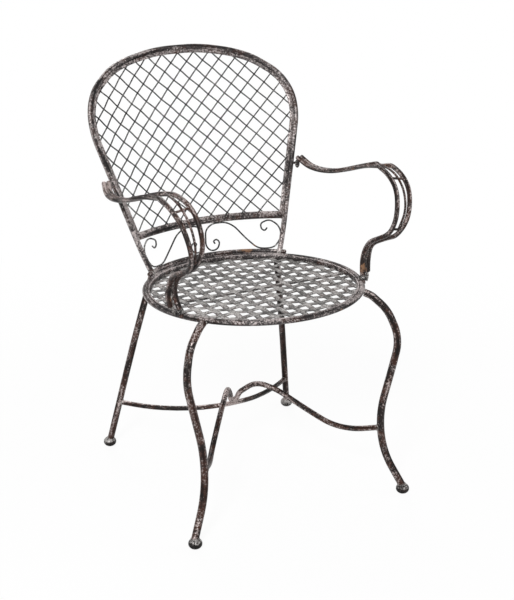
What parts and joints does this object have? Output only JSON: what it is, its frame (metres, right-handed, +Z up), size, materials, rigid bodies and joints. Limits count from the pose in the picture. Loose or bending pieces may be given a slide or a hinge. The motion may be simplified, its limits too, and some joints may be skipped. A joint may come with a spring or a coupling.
{
  "type": "garden armchair",
  "caption": "Round-seated garden armchair of bent steel tube with a woven strip seat, a wire mesh back, scrolls and swept arms.",
  "frame": {"origin": "centre of the chair's footprint on the ground", "axes": "+X to the right as the chair is seen from its front, +Y to the back, +Z up"},
  "size_m": [0.5334, 0.6222, 0.9012],
  "materials": {
    "frame": "dark brown-grey antique paint, rubbed pale and rust brown in patches",
    "strip": "the same antique paint on flat woven strips",
    "mesh": "the same antique paint on woven wire",
    "foot": "antique paint on ball feet",
    "fittings": "antique paint on links, pins, nuts and washers"
  },
  "bodies": {
    "root": {"arm_link_lower_left": "fittings", "arm_link_lower_right": "fittings", "arm_link_upper_left": "fittings", "arm_link_upper_right": "fittings", "arm_pin_ball_left": "fittings", "arm_pin_ball_right": "fittings", "arm_pin_left": "fittings", "arm_pin_right": "fittings", "arm_rod_inner_left": "frame", "arm_rod_inner_right": "frame", "arm_rod_middle_left": "frame", "arm_rod_middle_right": "frame", "arm_rod_outer_left": "frame", "arm_rod_outer_right": "frame", "back_crossbar": "frame", "back_hoop": "frame", "collar_nut_left": "fittings", "collar_nut_right": "fittings", "collar_washer_left": "fittings", "collar_washer_right": "fittings", "foot_front_left": "foot", "foot_front_right": "foot", "foot_rear_left": "foot", "foot_rear_right": "foot", "leg_front_left": "frame", "leg_front_right": "frame", "leg_rear_left": "frame", "leg_rear_right": "frame", "mesh_frame_arch": "frame", "mesh_frame_sill": "frame", "mesh_wires_falling": "mesh", "mesh_wires_rising": "mesh", "scroll_left": "frame", "scroll_right": "frame", "seat_band": "frame", "seat_rail": "frame", "seat_rim": "frame", "seat_strips_across": "strip", "seat_strips_lengthwise": "strip", "stretcher_front": "frame", "stretcher_rear": "frame"}
  },
  "joints": []
}
